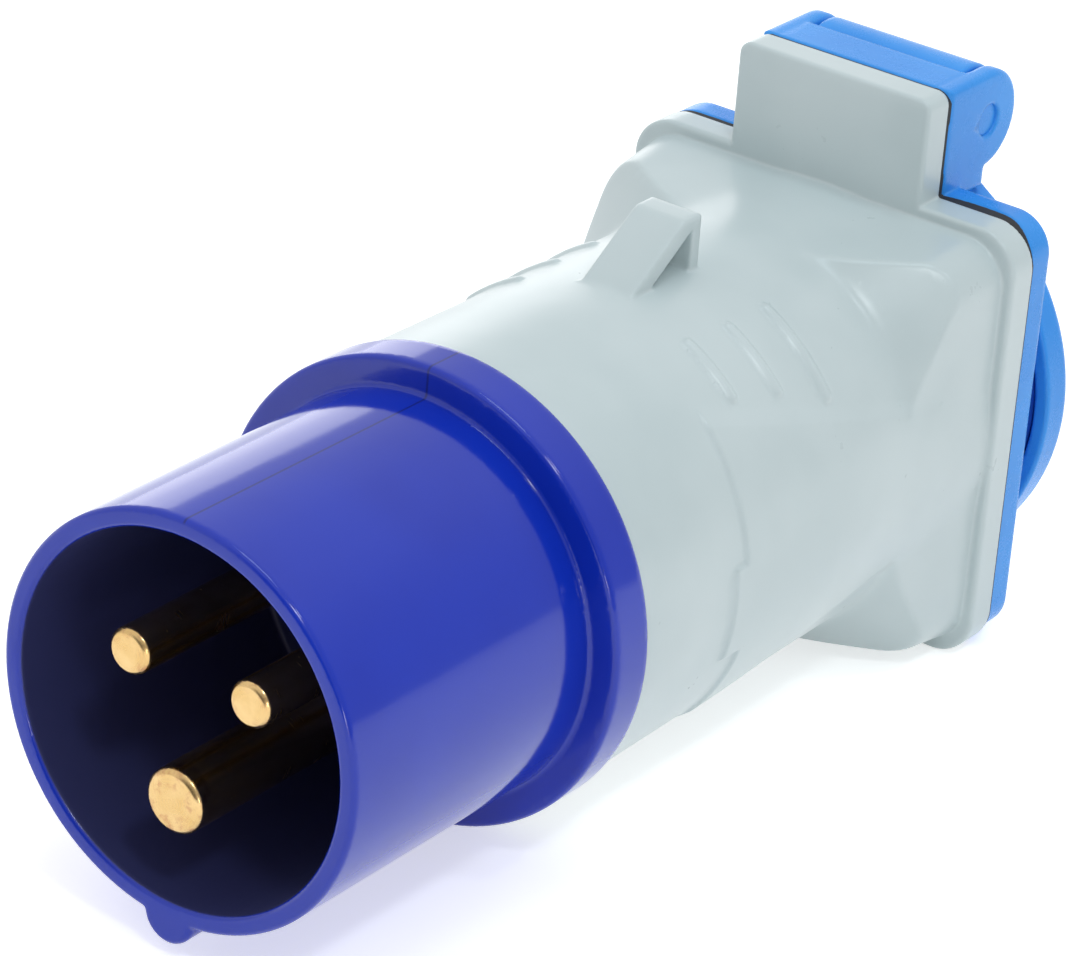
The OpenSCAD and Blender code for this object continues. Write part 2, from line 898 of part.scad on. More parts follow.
module lid() {
    neck_foot = neck_w / 2 + neck_step;
    color([0.25, 0.55, 0.92])
        difference() {
            union() {
                turned() {
                    span(0, lid_r - lid_round, y_lid, y_lid_back);
                    span(0, lid_r, y_lid, y_lid_back - lid_round);
                    translate([lid_r - lid_round, y_lid_back - lid_round])
                        circle(lid_round);
                }
                slab(y_lid_roof, y_lid_back)
                    polygon([
                        [neck_w / 2, hinge_z],
                        [neck_w / 2, arm_z + neck_rise],
                        [neck_foot, arm_z - neck_drop],
                        [lid_r * 0.77, lid_r * 0.62],
                        [-lid_r * 0.77, lid_r * 0.62],
                        [-neck_foot, arm_z - neck_drop],
                        [-neck_w / 2, arm_z + neck_rise],
                        [-neck_w / 2, hinge_z]
                    ]);
                translate([-neck_w / 2, hinge_y, hinge_z])
                    rotate([0, 90, 0])
                        cylinder(r = barrel_r, h = neck_w);
                slab(y_lid_back - lid_face / 2, y_lid_back + lip_t)
                    translate([0, lip_up - lid_r])
                        rounded(lip_w, lip_h, lip_round);
            }
            rod(lid_in_r, y_lid - eps, y_lid_roof);
            translate([-neck_w, hinge_y, hinge_z])
                rotate([0, 90, 0])
                    cylinder(r = hinge_pin_d / 2 + hinge_gap, h = 2 * neck_w);
            cross(-coil_side, coil_side)
                translate([hinge_y, hinge_z])
                    span(-2 * barrel_r, coil_room, -coil_room, coil_room);
        }
}

module lid_seal() {
    color([0.16, 0.33, 0.66])
        slab(y_mouth + seal_gap, y_lid_roof)
            difference() {
                circle(lid_in_r - end_gap);
                circle(recess_d / 2 + seal_gap);
            }
}

plug_shroud();
pin_carrier();
line_pin();
neutral_pin();
earth_pin();
pin_screws();
housing();
flange_gasket();
socket_body();
plate_screws();
contact_base();
line_contact();
neutral_contact();
earth_clip();
contact_screws();
centre_screw();
line_lead();
neutral_lead();
earth_lead();
hinge_pin();
lid_spring();
lid();
lid_seal();
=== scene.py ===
import bmesh
import bpy
import math
from mathutils import Matrix, Vector


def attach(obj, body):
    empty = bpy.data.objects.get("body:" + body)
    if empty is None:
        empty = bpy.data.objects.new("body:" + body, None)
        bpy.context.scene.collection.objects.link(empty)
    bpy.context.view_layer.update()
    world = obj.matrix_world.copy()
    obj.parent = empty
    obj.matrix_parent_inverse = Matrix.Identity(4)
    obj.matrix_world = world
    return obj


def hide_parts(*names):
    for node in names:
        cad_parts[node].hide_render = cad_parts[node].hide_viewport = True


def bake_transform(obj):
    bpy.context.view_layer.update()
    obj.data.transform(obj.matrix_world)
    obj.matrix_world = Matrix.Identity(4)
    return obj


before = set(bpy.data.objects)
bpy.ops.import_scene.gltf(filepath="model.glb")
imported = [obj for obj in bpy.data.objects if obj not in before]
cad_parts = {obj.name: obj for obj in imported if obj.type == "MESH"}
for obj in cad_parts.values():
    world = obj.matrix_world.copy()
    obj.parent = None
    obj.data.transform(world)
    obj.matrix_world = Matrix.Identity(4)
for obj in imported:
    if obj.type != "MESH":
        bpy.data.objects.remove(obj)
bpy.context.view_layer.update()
print("frame loaded,", len(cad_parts), "nodes")


# a socket that takes part in sums: each operator adds one Math node
class Value:
    def __init__(self, tree, socket):
        self.tree = tree
        self.socket = socket

    def at(self, name):  # another output of the same node
        return Value(self.tree, self.socket.node.outputs[name])

    def __add__(self, other):
        return self.tree.maths("ADD", self, other)

    def __radd__(self, other):
        return self.tree.maths("ADD", other, self)

    def __sub__(self, other):
        return self.tree.maths("SUBTRACT", self, other)

    def __rsub__(self, other):
        return self.tree.maths("SUBTRACT", other, self)

    def __mul__(self, other):
        return self.tree.maths("MULTIPLY", self, other)

    def __rmul__(self, other):
        return self.tree.maths("MULTIPLY", other, self)

    def __truediv__(self, other):
        return self.tree.maths("DIVIDE", self, other)

    def __rtruediv__(self, other):
        return self.tree.maths("DIVIDE", other, self)

    def __neg__(self):
        return self.tree.maths("MULTIPLY", self, -1.0)

    def __abs__(self):
        return self.tree.maths("ABSOLUTE", self)

    def root(self):
        return self.tree.maths("SQRT", self)

    def sine(self):
        return self.tree.maths("SINE", self)

    def cosine(self):
        return self.tree.maths("COSINE", self)

    def floorAt(self, low):
        return self.tree.maths("MAXIMUM", self, low)

    def capAt(self, high):
        return self.tree.maths("MINIMUM", self, high)

    def ramp(self, low, high):  # smooth step from 0 to 1
        return self.tree.node("ShaderNodeMapRange", {"interpolation_type": "SMOOTHSTEP"},
                              {"Value": self, "From Min": low, "From Max": high})


# a node tree, for shapes and for finishes alike
class Tree:
    def __init__(self, nodeTree):
        self.nodeTree = nodeTree

    def node(self, kind, settings=None, sockets=None, output=0):
        made = self.nodeTree.nodes.new(kind)
        for key, value in (settings or {}).items():
            setattr(made, key, value)
        for key, value in (sockets or {}).items():
            linked = value if isinstance(value, list) and isinstance(value[0], Value) else [value]
            for one in linked:
                if isinstance(one, Value):
                    self.nodeTree.links.new(one.socket, made.inputs[key])
                else:
                    made.inputs[key].default_value = one
        return Value(self, made.outputs[output]) if len(made.outputs) else made

    def maths(self, operation, *terms):
        return self.node("ShaderNodeMath", {"operation": operation}, dict(enumerate(terms)))

    def mixColour(self, share, first, second):
        return self.node("ShaderNodeMix", {"data_type": "RGBA"}, {0: share, 6: first, 7: second}, 2)

    def millimetres(self, place):
        return self.node("ShaderNodeVectorMath", {"operation": "SCALE"}, {0: place, "Scale": 1000.0})

    def axes(self, place):
        split = self.node("ShaderNodeSeparateXYZ", {}, {0: place})
        return split.at("X"), split.at("Y"), split.at("Z")


# distance fields: below zero is inside, all in millimetres
def join(a, b, fillet=None):
    return a.tree.maths("MINIMUM", a, b) if fillet is None else a.tree.maths("SMOOTH_MIN", a, b, fillet)


def shared(a, b, soft=None):
    return a.tree.maths("MAXIMUM", a, b) if soft is None else a.tree.maths("SMOOTH_MAX", a, b, soft)


def cut(a, b, soft=None):
    return shared(a, -b, soft)


def reach(u, v):
    return (u * u + v * v).root()


def band(t, low, high):
    return abs(t - (low + high) * 0.5) - (high - low) * 0.5


def edged(outline, depth, edge):  # what two fields share, with a true round of that radius between them
    a = outline + edge
    b = depth + edge
    return reach(a.floorAt(0.0), b.floorAt(0.0)) + shared(a, b).capAt(0.0) - edge


def roundRect(u, v, halfU, halfV, corner):
    return edged(abs(u) - halfU, abs(v) - halfV, corner)


class Spot:  # the place that a field is asked for
    def __init__(self, tree):
        self.x, self.y, self.z = tree.axes(tree.millimetres(tree.node("GeometryNodeInputPosition")))


meshing = {"pulls": 2, "pull": 0.9, "pullLimit": 0.06, "unfoldTurns": 4}  # the limit in millimetres


def shapeTree(name, sizes):
    group = bpy.data.node_groups.new(name, "GeometryNodeTree")
    group.interface.new_socket("Geometry", in_out="OUTPUT", socket_type="NodeSocketGeometry")
    sockets = {}
    for key in sizes:
        sockets[key] = group.interface.new_socket(key, in_out="INPUT", socket_type="NodeSocketFloat")
    tree = Tree(group)
    given = tree.node("NodeGroupInput")
    return tree, {key: given.at(key) for key in sizes}, sockets


def fieldMesh(tree, field, low, high, voxel, spare=0.0):  # spare joins cells where the surface is flat
    steps = voxel if isinstance(voxel, tuple) else (voxel, voxel, voxel)
    counts = [int(math.ceil((b - a) / step)) + 1 for a, b, step in zip(low, high, steps)]
    top = [a + (n - 1) * step for a, n, step in zip(low, counts, steps)]
    cube = tree.node("GeometryNodeVolumeCube", {}, {
        "Density": -field, "Background": -1.0,
        "Min": [a / 1000 for a in low], "Max": [b / 1000 for b in top],
        "Resolution X": counts[0], "Resolution Y": counts[1], "Resolution Z": counts[2]})
    mesh = tree.node("GeometryNodeVolumeToMesh", {"resolution_mode": "GRID"},
                     {"Volume": cube, "Threshold": 0.0, "Adaptivity": spare})
    normal = tree.node("GeometryNodeInputNormal")
    limit = meshing["pullLimit"] / 1000
    for turn in range(meshing["pulls"]):  # draw every corner onto the true surface
        step = (field * (-meshing["pull"] / 1000)).floorAt(-limit).capAt(limit)
        pull = tree.node("ShaderNodeVectorMath", {"operation": "SCALE"}, {0: normal, "Scale": step})
        mesh = tree.node("GeometryNodeSetPosition", {}, {"Geometry": mesh, "Offset": pull})
    return mesh


def unfold(mesh):  # close the few joined cells that lie face down
    work = bmesh.new()
    work.from_mesh(mesh)
    bmesh.ops.triangulate(work, faces=work.faces[:], quad_method="BEAUTY")
    for turn in range(meshing["unfoldTurns"]):
        work.normal_update()
        folded = [face for face in work.faces
                  if sum(face.normal.dot(near.normal) for edge in face.edges for near in edge.link_faces
                         if near != face) < 0.0]
        for face in folded:
            if face.is_valid:
                kept = face.verts[0]
                bmesh.ops.pointmerge(work, verts=face.verts[:], merge_co=face.calc_center_median())
                around = [edge.other_vert(kept).co for edge in kept.link_edges]
                kept.co = sum(around, Vector()) / len(around)  # level with its neighbours
        print(mesh.name, "had", len(folded), "folded faces")
        if not folded:
            break
    work.to_mesh(mesh)
    work.free()


def bakeTree(name, tree, sockets, sizes, geometry, material=None, spare=0.0):
    smooth = tree.node("GeometryNodeSetShadeSmooth", {}, {"Geometry": geometry})
    whole = tree.node("GeometryNodeRealizeInstances", {}, {"Geometry": smooth})
    if material is not None:
        whole = tree.node("GeometryNodeSetMaterial", {}, {"Geometry": whole, "Material": material})
    tree.node("NodeGroupOutput", {}, {0: whole})
    maker = bpy.data.objects.new(name + "Maker", bpy.data.meshes.new(name + "Maker"))
    bpy.context.scene.collection.objects.link(maker)
    modifier = maker.modifiers.new("shape", "NODES")
    modifier.node_group = tree.nodeTree
    for key, socket in sockets.items():
        modifier[socket.identifier] = float(sizes[key])
    graph = bpy.context.evaluated_depsgraph_get()
    mesh = bpy.data.meshes.new_from_object(maker.evaluated_get(graph), depsgraph=graph)
    bpy.data.objects.remove(maker)
    mesh.name = name
    if spare:
        unfold(mesh)
    piece = bpy.data.objects.new(name, mesh)
    bpy.context.scene.collection.objects.link(piece)
    print(name, "has", sum(len(p.vertices) - 2 for p in mesh.polygons), "triangles")
    return piece


def fieldPiece(name, sizes, shape, low, high, voxel, material, spare=0.0):
    tree, given, sockets = shapeTree(name + "Shape", sizes)
    mesh = fieldMesh(tree, shape(given, Spot(tree)), low, high, voxel, spare)
    return bakeTree(name, tree, sockets, sizes, mesh, material, spare)


def settle(piece, body, slotName, *nodes):
    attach(piece, body)
    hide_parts(*nodes)


# places that several pieces share
pinCircle = 8.7
pinAngles = {"line": 30, "neutral": 150, "earth": -90}
hinge = {"hingeY": 83.2, "hingeZ": 31.55}
screwPlace = 19.1
diagonal = 0.7071  # sine and cosine of 45 degrees


def pinWay(name):  # from the axis of the plug towards a pin
    a = math.radians(pinAngles[name])
    return math.cos(a), math.sin(a)


# finishes: a pattern is its scale in cycles per millimetre, its detail and its roughness
def newFinish(name):
    material = bpy.data.materials.new(name)
    material.use_nodes = True
    material.node_tree.nodes.clear()
    tree = Tree(material.node_tree)
    return material, tree, tree.millimetres(tree.node("ShaderNodeTexCoord").at("Object"))


def noise(tree, place, pattern):
    scale, detail, rough = pattern
    return tree.node("ShaderNodeTexNoise", {},
                     {"Vector": place, "Scale": scale, "Detail": detail, "Roughness": rough})


def stretched(tree, place, scale):
    return tree.node("ShaderNodeMapping", {}, {"Vector": place, "Scale": scale})


def uneven(level, *patterns):  # a level that wanders by the amount given with each pattern
    for pattern, amount in patterns:
        level = level + amount * (pattern - 0.5)
    return level


def bump(tree, height, depth=1.0):  # depth in millimetres for a height of 1
    return tree.node("ShaderNodeBump", {}, {"Height": height, "Distance": depth / 1000, "Strength": 1.0})


def closeFinish(tree, sockets):
    shader = tree.node("ShaderNodeBsdfPrincipled", {}, sockets)
    tree.node("ShaderNodeOutputMaterial", {}, {"Surface": shader})


def colour(tone):
    return (*tone, 1.0)


def twoTone(tree, share, f):  # from the deep tone to the pale one
    return tree.mixColour(share, colour(f["deep"]), colour(f["pale"]))


greyPlastic = {
    "pale": (0.565, 0.648, 0.662), "deep": (0.515, 0.602, 0.617), "rough": 0.29, "specular": 0.5,
    "cloud": (0.045, 3.0, 0.5), "cloudEdge": (0.35, 0.68),
    "fine": (1.2, 2.0, 0.5), "fineRough": 0.03, "fineDepth": 0.002,
    "rub": (0.16, 4.0, 0.6), "rubRough": 0.06,
}


def greyFinish():
    f = greyPlastic
    material, tree, place = newFinish("satinGreyMoulding")
    cloud = noise(tree, place, f["cloud"])
    fine = noise(tree, place, f["fine"])
    rub = noise(tree, place, f["rub"])
    closeFinish(tree, {"Base Color": twoTone(tree, cloud.ramp(*f["cloudEdge"]), f),
                       "Roughness": uneven(f["rough"], (rub, f["rubRough"]), (fine, f["fineRough"])),
                       "Normal": bump(tree, fine, f["fineDepth"]), "Specular IOR Level": f["specular"]})
    return material


plugPlastic = {
    "pale": (0.006, 0.032, 0.460), "deep": (0.004, 0.025, 0.410), "rough": 0.11, "specular": 0.45,
    "cloud": (0.05, 2.0, 0.5), "cloudEdge": (0.3, 0.7),
    "ripple": (0.32, 2.0, 0.45), "rippleRough": 0.04, "rippleDepth": 0.010,
    "flow": (0.6, 2.0, 0.5), "flowStretch": (1.0, 0.12, 1.0), "flowRough": 0.06, "flowDepth": 0.004,
    # inside: a darker tone painted on the shroud's inside, as painted shade deep in the plug
    "inside": (0.030, 0.035, 0.125), "insideRough": 0.35, "insideShadeEdge": (19.92, 20.02), "insideShadeEnd": (5.2, 5.6),
    # the seam's dark tone is painted shade along the seam line
    "paintedSeamShade": (0.004, 0.010, 0.120), "seamShadeStrength": 0.7, "seamWidth": (0.06, 0.20), "seamLow": (15.0, 15.5),
    "seamIn": (21.4, 21.8),
}


def plugFinish():
    f = plugPlastic
    material, tree, place = newFinish("glossDarkBlueMoulding")
    x, y, z = tree.axes(place)
    cloud = noise(tree, place, f["cloud"])
    ripple = noise(tree, place, f["ripple"])
    flow = noise(tree, stretched(tree, place, f["flowStretch"]), f["flow"])
    radius = reach(x, z)
    # the inside of the shroud is painted darker: painted shade where little light reaches
    inside = (1.0 - radius.ramp(*f["insideShadeEdge"])) * (1.0 - y.ramp(*f["insideShadeEnd"]))
    tone = tree.mixColour(inside, twoTone(tree, cloud.ramp(*f["cloudEdge"]), f), colour(f["inside"]))
    # a fine moulding seam along the top, painted as a darker line of shade
    paintedSeamShade = (1.0 - abs(x).ramp(*f["seamWidth"])) * z.ramp(*f["seamLow"]) * radius.ramp(*f["seamIn"])
    tone = tree.mixColour(paintedSeamShade * f["seamShadeStrength"], tone, colour(f["paintedSeamShade"]))
    rough = uneven(f["rough"], (flow, f["flowRough"]), (ripple, f["rippleRough"])) + f["insideRough"] * inside
    closeFinish(tree, {"Base Color": tone, "Roughness": rough, "Specular IOR Level": f["specular"],
                       "Normal": bump(tree, ripple * f["rippleDepth"] + flow * f["flowDepth"])})
    return material


bluePlastic = {
    "pale": (0.055, 0.340, 0.880), "deep": (0.040, 0.290, 0.810), "rough": 0.27, "specular": 0.22,
    "cloud": (0.07, 2.0, 0.5), "cloudEdge": (0.3, 0.7),
    "fine": (4.5, 2.0, 0.55), "fineRough": 0.04, "fineDepth": 0.004,
    "wave": (0.4, 2.0, 0.5), "waveRough": 0.06, "waveDepth": 0.01,
}


def blueFinish():
    f = bluePlastic
    material, tree, place = newFinish("lightBlueMoulding")
    cloud = noise(tree, place, f["cloud"])
    fine = noise(tree, place, f["fine"])
    wave = noise(tree, place, f["wave"])
    closeFinish(tree, {"Base Color": twoTone(tree, cloud.ramp(*f["cloudEdge"]), f),
                       "Roughness": uneven(f["rough"], (wave, f["waveRough"]), (fine, f["fineRough"])),
                       "Normal": bump(tree, fine * f["fineDepth"] + wave * f["waveDepth"]),
                       "Specular IOR Level": f["specular"]})
    return material


brassMetal = {
    "pale": (0.745, 0.520, 0.245), "deep": (0.660, 0.435, 0.175), "rough": 0.24,
    "haze": (0.35, 3.0, 0.5), "hazeEdge": (0.3, 0.75), "hazeRough": 0.14,
    "rings": (7.0, 3.0, 0.6), "ringStretch": (0.06, 1.0, 0.06), "ringRough": 0.08, "ringDepth": 0.004,
    "browned": (0.500, 0.260, 0.130), "wear": (0.9, 4.0, 0.6), "wearEdge": (0.46, 0.66), "wearStrength": 0.75,
    "tip": (-35.2, -34.6), "tipEdge": (1.1, 2.3),
    "grooves": 15.0, "grooveWander": 4.0, "grooveRough": 0.03, "grooveDepth": 0.003,
}


def brassFinish():
    f = brassMetal
    material, tree, place = newFinish("turnedBrass")
    x, y, z = tree.axes(place)
    haze = noise(tree, place, f["haze"])
    rings = noise(tree, stretched(tree, place, f["ringStretch"]), f["rings"])
    wear = noise(tree, place, f["wear"])
    fromAxis = None
    for name in pinAngles:  # distance from the nearest pin's axis
        across, up = pinWay(name)
        near = reach(x - pinCircle * across, z - pinCircle * up)
        fromAxis = near if fromAxis is None else fromAxis.capAt(near)
    tip = 1.0 - y.ramp(*f["tip"])
    worn = wear.ramp(*f["wearEdge"]) * fromAxis.ramp(*f["tipEdge"]) * tip * f["wearStrength"]
    tone = tree.mixColour(haze.ramp(*f["hazeEdge"]), colour(f["pale"]), colour(f["deep"]))
    tone = tree.mixColour(worn, tone, colour(f["browned"]))
    turned = (fromAxis * f["grooves"] + f["grooveWander"] * wear).sine() * tip
    rough = uneven(f["rough"], (haze, f["hazeRough"]), (rings, f["ringRough"])) + f["grooveRough"] * turned
    closeFinish(tree, {"Base Color": tone, "Metallic": 1.0, "Roughness": rough,
                       "Normal": bump(tree, rings * f["ringDepth"] + turned * f["grooveDepth"])})
    return material


steelMetal = {
    "pale": (0.640, 0.650, 0.670), "deep": (0.520, 0.530, 0.550), "rough": 0.30,
    "haze": (0.6, 3.0, 0.5), "hazeEdge": (0.3, 0.75), "hazeRough": 0.16,
    "speck": (6.0, 2.0, 0.6), "speckRough": 0.06, "speckDepth": 0.003,
}


def steelFinish():
    f = steelMetal
    material, tree, place = newFinish("platedSteel")
    haze = noise(tree, place, f["haze"])
    speck = noise(tree, place, f["speck"])
    tone = tree.mixColour(haze.ramp(*f["hazeEdge"]), colour(f["pale"]), colour(f["deep"]))
    closeFinish(tree, {"Base Color": tone, "Metallic": 1.0,
                       "Roughness": uneven(f["rough"], (haze, f["hazeRough"]), (speck, f["speckRough"])),
                       "Normal": bump(tree, speck, f["speckDepth"])})
    return material


rubberShared = {"dust": (1.4, 4.0, 0.65), "dustEdge": (0.35, 0.8), "dustRough": 0.16, "dustDepth": 0.01}
rubbers = {
    "black": dict(rubberShared, pale=(0.026, 0.027, 0.031), deep=(0.014, 0.014, 0.016), rough=0.72),
    "blue": dict(rubberShared, pale=(0.022, 0.130, 0.520), deep=(0.016, 0.105, 0.460), rough=0.62),
}


def rubberFinish(shade):
    f = rubbers[shade]
    material, tree, place = newFinish(shade + "SealRubber")
    dust = noise(tree, place, f["dust"])
    closeFinish(tree, {"Base Color": twoTone(tree, dust.ramp(*f["dustEdge"]), f),
                       "Roughness": uneven(f["rough"], (dust, f["dustRough"])),
                       "Normal": bump(tree, dust, f["dustDepth"])})
    return material


insulatorShared = {"speck": (2.6, 4.0, 0.7), "speckEdge": (0.4, 0.7), "speckShare": 0.6, "speckRough": 0.12,
                   "speckDepth": 0.01, "cloud": (0.12, 2.0, 0.5), "cloudShare": 0.4}
insulators = {
    "dark": dict(insulatorShared, pale=(0.030, 0.032, 0.040), deep=(0.017, 0.018, 0.023), rough=0.5),
    "pale": dict(insulatorShared, pale=(0.760, 0.740, 0.660), deep=(0.680, 0.655, 0.570), rough=0.45),
}


def insulatorFinish(shade):
    f = insulators[shade]
    material, tree, place = newFinish(shade + "Insulator")
    speck = noise(tree, place, f["speck"])
    cloud = noise(tree, place, f["cloud"])
    share = speck.ramp(*f["speckEdge"]) * f["speckShare"] + cloud * f["cloudShare"]
    closeFinish(tree, {"Base Color": twoTone(tree, share, f),
                       "Roughness": uneven(f["rough"], (speck, f["speckRough"])),
                       "Normal": bump(tree, speck, f["speckDepth"])})
    return material


wireShared = {"rough": 0.42, "cloud": (0.5, 3.0, 0.5), "cloudEdge": (0.3, 0.7), "cloudRough": 0.1, "cloudDepth": 0.02}
wires = {
    "brown": dict(wireShared, pale=(0.170, 0.070, 0.035), deep=(0.120, 0.048, 0.022)),
    "blue": dict(wireShared, pale=(0.030, 0.090, 0.480), deep=(0.018, 0.060, 0.380)),
    "green": dict(wireShared, pale=(0.060, 0.300, 0.050), deep=(0.040, 0.240, 0.035),
                  stripe=(0.620, 0.520, 0.030), stripeEdge=(0.5, 0.62)),
}


def wireFinish(shade):
    f = wires[shade]
    material, tree, place = newFinish(shade + "Insulation")
    cloud = noise(tree, place, f["cloud"])
    tone = twoTone(tree, cloud.ramp(*f["cloudEdge"]), f)
    if "stripe" in f:  # a second colour along the middle
        x, y, z = tree.axes(place)
        tone = tree.mixColour(abs(x).ramp(*f["stripeEdge"]), colour(f["stripe"]), tone)
    closeFinish(tree, {"Base Color": tone, "Roughness": uneven(f["rough"], (cloud, f["cloudRough"])),
                       "Normal": bump(tree, cloud, f["cloudDepth"])})
    return material


finish = {
    "grey": greyFinish(), "plug": plugFinish(), "blue": blueFinish(), "brass": brassFinish(),
    "steel": steelFinish(), "seal": rubberFinish("black"), "lidSeal": rubberFinish("blue"),
    "dark": insulatorFinish("dark"), "pale": insulatorFinish("pale"),
    "brownWire": wireFinish("brown"), "blueWire": wireFinish("blue"), "greenWire": wireFinish("green"),
}
print("finishes made")


# grey housing: barrel, flare to the square block, flange, hinge plate, catch hook, ridges and side panels
housingSizes = {
    "barrelFront": 24.7, "barrelRear": 24.0, "bore": 21.8, "frontFace": 5.6, "taperEnd": 54.8, "seat": 74.3,
    "seatEdge": 0.3, "frontEdge": 0.5, "boreEdge": 0.4,
    "flareStart": 55.8, "flareLean": 0.95, "flareCosine": 0.725, "flareSoft": 0.6, "valley": 1.3,
    "blockHalf": 23.8, "blockTall": 24.3, "blockCorner": 5.0, "draft": 0.0828, "drop": 0.45,
    "flangeFront": 70.3, "flangeHalf": 25.1, "flangeTall": 25.6, "flangeCorner": 5.0, "bevel": 0.5,
    "flangeFillet": 0.5,
    "hingeHalf": 12.45, "hingeTop": 37.25, "hingeCorner": 1.5,
    "hookHalf": 3.25, "hookFoot": 30.0, "hookBase": 24.267, "hookSink": 1.5, "hookBack": 42.0, "hookTop": 30.167,
    "hookLean": 0.663, "hookWall": 2.1, "hookRear": 1.6, "hookNose": 0.5, "hookHeel": 0.6, "hookInside": 0.4,
    "hookEdge": 0.3, "hookFillet": 0.5,
    "ridgeFirst": 29.7, "ridgePitch": 6.85, "ridgeHeight": 0.5, "ridgeNose": 0.9, "ridgeEnd": 1.2,
    "ridgeFillet": 0.35,
    "panelHeight": 0.35, "panelFade": 0.22, "panelFront": 24.0, "panelTop": 18.4, "panelLow": 9.4,
    "panelLean": 0.2624, "panelSine": 0.67, "panelCosine": 0.74, "panelSoft": 0.1,
    "tabLow": -7.0, "tabTop": 3.4, "tabOut": 2.0, "tabIn": 1.0,
    "screwPlace": screwPlace, "screwHole": 1.8, "screwDepth": 63.5, "screwEdge": 0.3,
}
ridgeAngles = [(45, 65), (41, 64), (34, 64)]


def housingShape(s, p):
    side = abs(p.x)
    radius = reach(p.x, p.z)
    share = ((s["taperEnd"] - p.y) / (s["taperEnd"] - s["frontFace"])).floorAt(0.0)
    barrel = radius - (s["barrelRear"] + (s["barrelFront"] - s["barrelRear"]) * share)
    # side panel, a thin raised field with a sloped front and a tab
    half = shared(s["panelTop"] - (p.y - s["panelFront"]) * s["panelLean"], s["panelLow"])
    panel = shared(s["panelFront"] - s["tabOut"] - p.y, band(p.z, s["tabLow"], s["tabTop"]))
    panel = join(s["panelFront"] - p.y, panel)
    panel = cut(panel, shared(p.z - s["tabLow"], p.y - s["panelFront"] - s["tabIn"]))
    fade = (abs(p.z) - half) * s["panelFade"] + s["panelHeight"]
    raised = barrel - s["panelHeight"] + fade.floorAt(0.0)
    panel = shared(panel * s["panelSine"] + raised * s["panelCosine"], raised, s["panelSoft"])
    body = join(barrel, panel, s["panelSoft"])
    # square block behind the corner ramps
    lean = (s["flangeFront"] - p.y) * s["draft"]
    square = roundRect(p.x, p.z + s["drop"], s["blockHalf"] - lean, s["blockTall"] - lean, s["blockCorner"])
    cone = (radius - s["barrelRear"] - (p.y - s["flareStart"]) * s["flareLean"]) * s["flareCosine"]
    body = join(body, shared(square, cone, s["flareSoft"]), s["valley"])
    # flange and hinge plate
    tall = roundRect(p.x, p.z - s["hingeTop"] * 0.5, s["hingeHalf"], s["hingeTop"] * 0.5, s["hingeCorner"])
    outline = join(roundRect(p.x, p.z + s["drop"], s["flangeHalf"], s["flangeTall"], s["flangeCorner"]), tall)
    body = join(body, edged(outline, s["flangeFront"] - p.y, s["bevel"]), s["flangeFillet"])
    # grip ridges
    for i, (first, last) in enumerate(ridgeAngles):
        a, b = math.radians(first), math.radians(last)
        across = p.y - s["ridgeFirst"] - s["ridgePitch"] * float(i)
        torus = reach(barrel - s["ridgeHeight"] + s["ridgeNose"], across) - s["ridgeNose"]
        ends = shared(side * math.sin(a) - p.z * math.cos(a), p.z * math.cos(b) - side * math.sin(b))
        body = join(body, shared(torus, ends, s["ridgeEnd"]), s["ridgeFillet"])
    # catch hook, open on both sides
    slope = (1.0 + s["hookLean"] * s["hookLean"]).root()
    face = (p.z - s["hookBase"] - (p.y - s["hookFoot"]) * s["hookLean"]) / slope
    loop = shared(shared(face, p.z - s["hookTop"], s["hookNose"]), p.y - s["hookBack"], s["hookHeel"])
    loop = shared(loop, s["hookBase"] - s["hookSink"] - p.z)
    hole = shared(face + s["hookWall"], p.y - s["hookBack"] + s["hookRear"], s["hookInside"])
    loop = cut(loop, hole, s["hookEdge"])
    body = join(body, edged(loop, side - s["hookHalf"], s["hookEdge"]), s["hookFillet"])
    # ends, bore and screw holes
    body = shared(body, p.y - s["seat"], s["seatEdge"])
    body = shared(body, s["frontFace"] - p.y, s["frontEdge"])
    body = shared(body, s["bore"] - radius, s["boreEdge"])
    hole = reach(side - s["screwPlace"], abs(p.z) - s["screwPlace"]) - s["screwHole"]
    return cut(body, shared(hole, s["screwDepth"] - p.y), s["screwEdge"])


housing = fieldPiece("housing_moulding", housingSizes, housingShape,
                     (-26.0, 4.8, -27.0), (26.0, 75.2, 38.2), 0.30, finish["grey"], spare=0.004)
settle(housing, "base", "housing_plastic", "housing")


# dark-blue plug: shroud, key rib, collar, floor and spigot
plugSizes = {
    "shroud": 22.0, "wall": 2.1, "rim": -37.0, "rimRound": 0.6, "floor": 5.0, "floorFillet": 0.6,
    "collar": 25.4, "collarBack": 5.6, "collarFillet": 0.4,
    "spigot": 21.75, "spigotWall": 2.0, "spigotFront": 4.0, "spigotEnd": 13.6, "spigotEdge": 0.5,
    "keyHalf": 3.0, "keyHeight": 2.6, "keyTop": -15.0, "keyEnd": 0.5, "keyFillet": 0.5,
    "pinCircle": pinCircle, "lineHole": 2.95, "neutralHole": 2.95, "earthHole": 3.95, "holeFront": -6.0,
    "holeEdge": 0.3,
}


